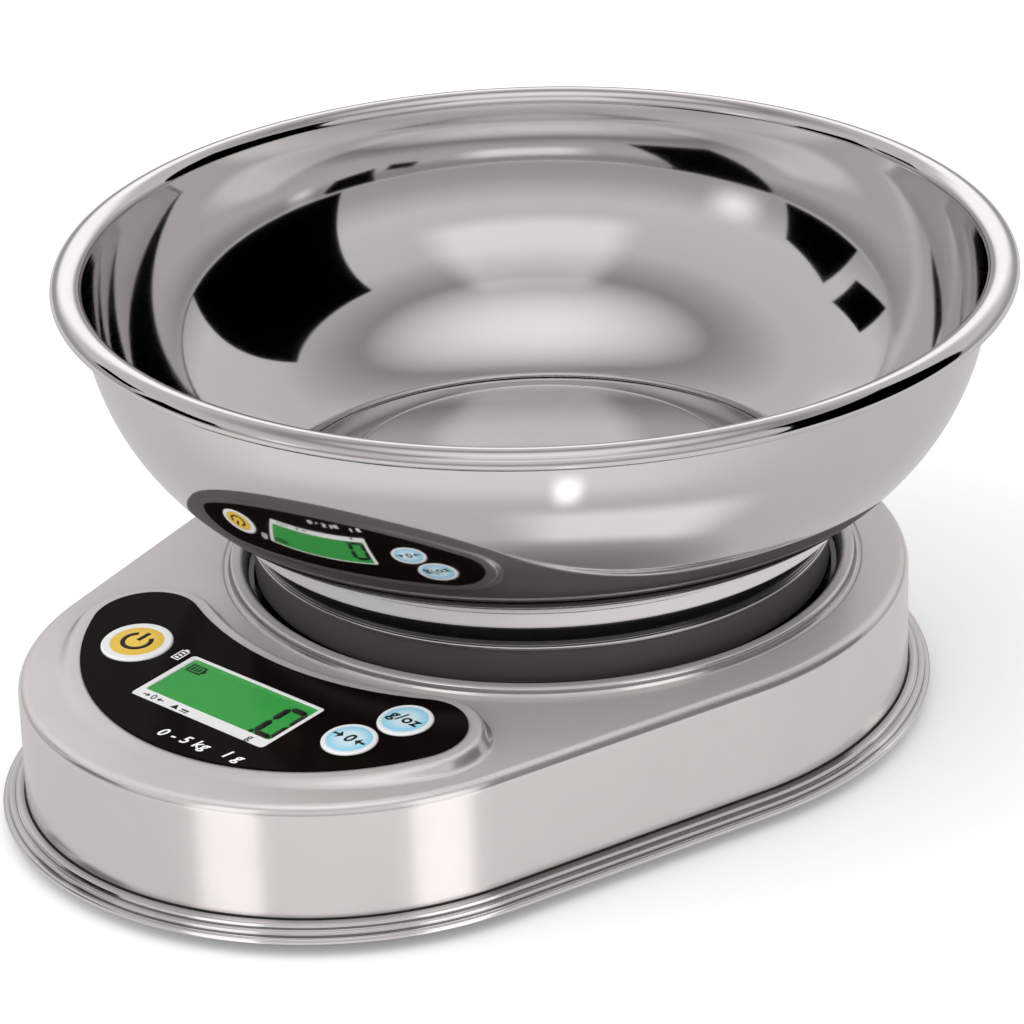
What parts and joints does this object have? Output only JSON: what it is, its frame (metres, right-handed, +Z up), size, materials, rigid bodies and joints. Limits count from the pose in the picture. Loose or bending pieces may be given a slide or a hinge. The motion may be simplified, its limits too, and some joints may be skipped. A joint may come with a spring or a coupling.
{
  "type": "kitchen scale",
  "caption": "Digital kitchen scale with a lift-off steel bowl on a round weighing platform, a pear-shaped steel housing, and a forward keypad with a lit display.",
  "frame": {"origin": "middle of the whole scale's outline, on the table surface under the rubber feet", "axes": "+Z up, keypad and display face -Y, +X to the right as seen by the person using it"},
  "size_m": [0.24, 0.2798, 0.1188],
  "materials": {
    "bowl_steel": "polished stainless steel",
    "shell_steel": "polished stainless steel",
    "edge_steel": "polished, rolled edge",
    "black_plastic": "fine moulded texture",
    "platform_black": "gloss moulded",
    "overlay_black": "gloss printed facing",
    "clear_window": "clear",
    "white_plastic": "satin",
    "display_green": "green lit display",
    "light_green": "translucent light plate",
    "strip_rubber": "soft",
    "board_green": "solder mask",
    "switch_black": "moulded",
    "battery_wrap": "printed film",
    "contact_nickel": "nickel plated",
    "cell_aluminium": "milled",
    "plate_steel": "zinc plated",
    "screw_steel": "zinc plated",
    "gauge_sealant": "sealant",
    "foot_rubber": "matte",
    "key_yellow": "gloss",
    "key_blue": "gloss"
  },
  "bodies": {
    "housing": {"body_shell": "shell_steel", "well_ring": "black_plastic", "base_tray": "black_plastic", "edge_ring": "edge_steel", "rubber_feet": "foot_rubber", "base_screws": "screw_steel", "panel_overlay": "overlay_black", "display_window": "clear_window", "display_frame": "white_plastic", "display_glass": "display_green", "backlight": "light_green", "contact_strip": "strip_rubber", "circuit_board": "board_green", "panel_carrier": "black_plastic", "board_screws": "screw_steel", "key_switches": "switch_black", "control_chip": "switch_black", "battery_case": "black_plastic", "batteries": "battery_wrap", "battery_contacts": "contact_nickel", "load_cell": "cell_aluminium", "cell_spacer_low": "plate_steel", "cell_screws_low": "screw_steel", "strain_gauges": "gauge_sealant", "base_plate": "plate_steel", "overload_stop": "screw_steel"},
    "platform": {"weighing_platform": "platform_black", "platform_carrier": "plate_steel", "platform_screws": "screw_steel", "cell_spacer_high": "plate_steel", "cell_screws_high": "screw_steel"},
    "bowl": {"bowl": "bowl_steel"},
    "power_button": {"power_button": "key_yellow"},
    "zero_button": {"zero_button": "key_blue"},
    "unit_button": {"unit_button": "key_blue"},
    "battery_door": {"battery_door": "black_plastic"}
  },
  "joints": [
    {"name": "platform_press", "type": "slide", "parent": "housing", "child": "platform", "axis": [0, 0, -1], "range_m": [0, 0.0004], "stiffness_N_per_m": 122500, "springref_m": -0.0001},
    {"name": "bowl_lift", "type": "slide", "parent": "platform", "child": "bowl", "axis": [0, 0, 1], "range_m": [0, 0.15]},
    {"name": "power_press", "type": "slide", "parent": "housing", "child": "power_button", "axis": [0, 0.0698, -0.9976], "range_m": [0, 0.0003], "stiffness_N_per_m": 3000, "springref_m": -0.0001},
    {"name": "zero_press", "type": "slide", "parent": "housing", "child": "zero_button", "axis": [0, 0.0698, -0.9976], "range_m": [0, 0.0003], "stiffness_N_per_m": 3000, "springref_m": -0.0001},
    {"name": "unit_press", "type": "slide", "parent": "housing", "child": "unit_button", "axis": [0, 0.0698, -0.9976], "range_m": [0, 0.0003], "stiffness_N_per_m": 3000, "springref_m": -0.0001},
    {"name": "battery_door_swing", "type": "hinge", "parent": "housing", "child": "battery_door", "pos_m": [0, -0.07858, 0.0038], "axis": [1, 0, 0], "range_deg": [0, 100]}
  ]
}
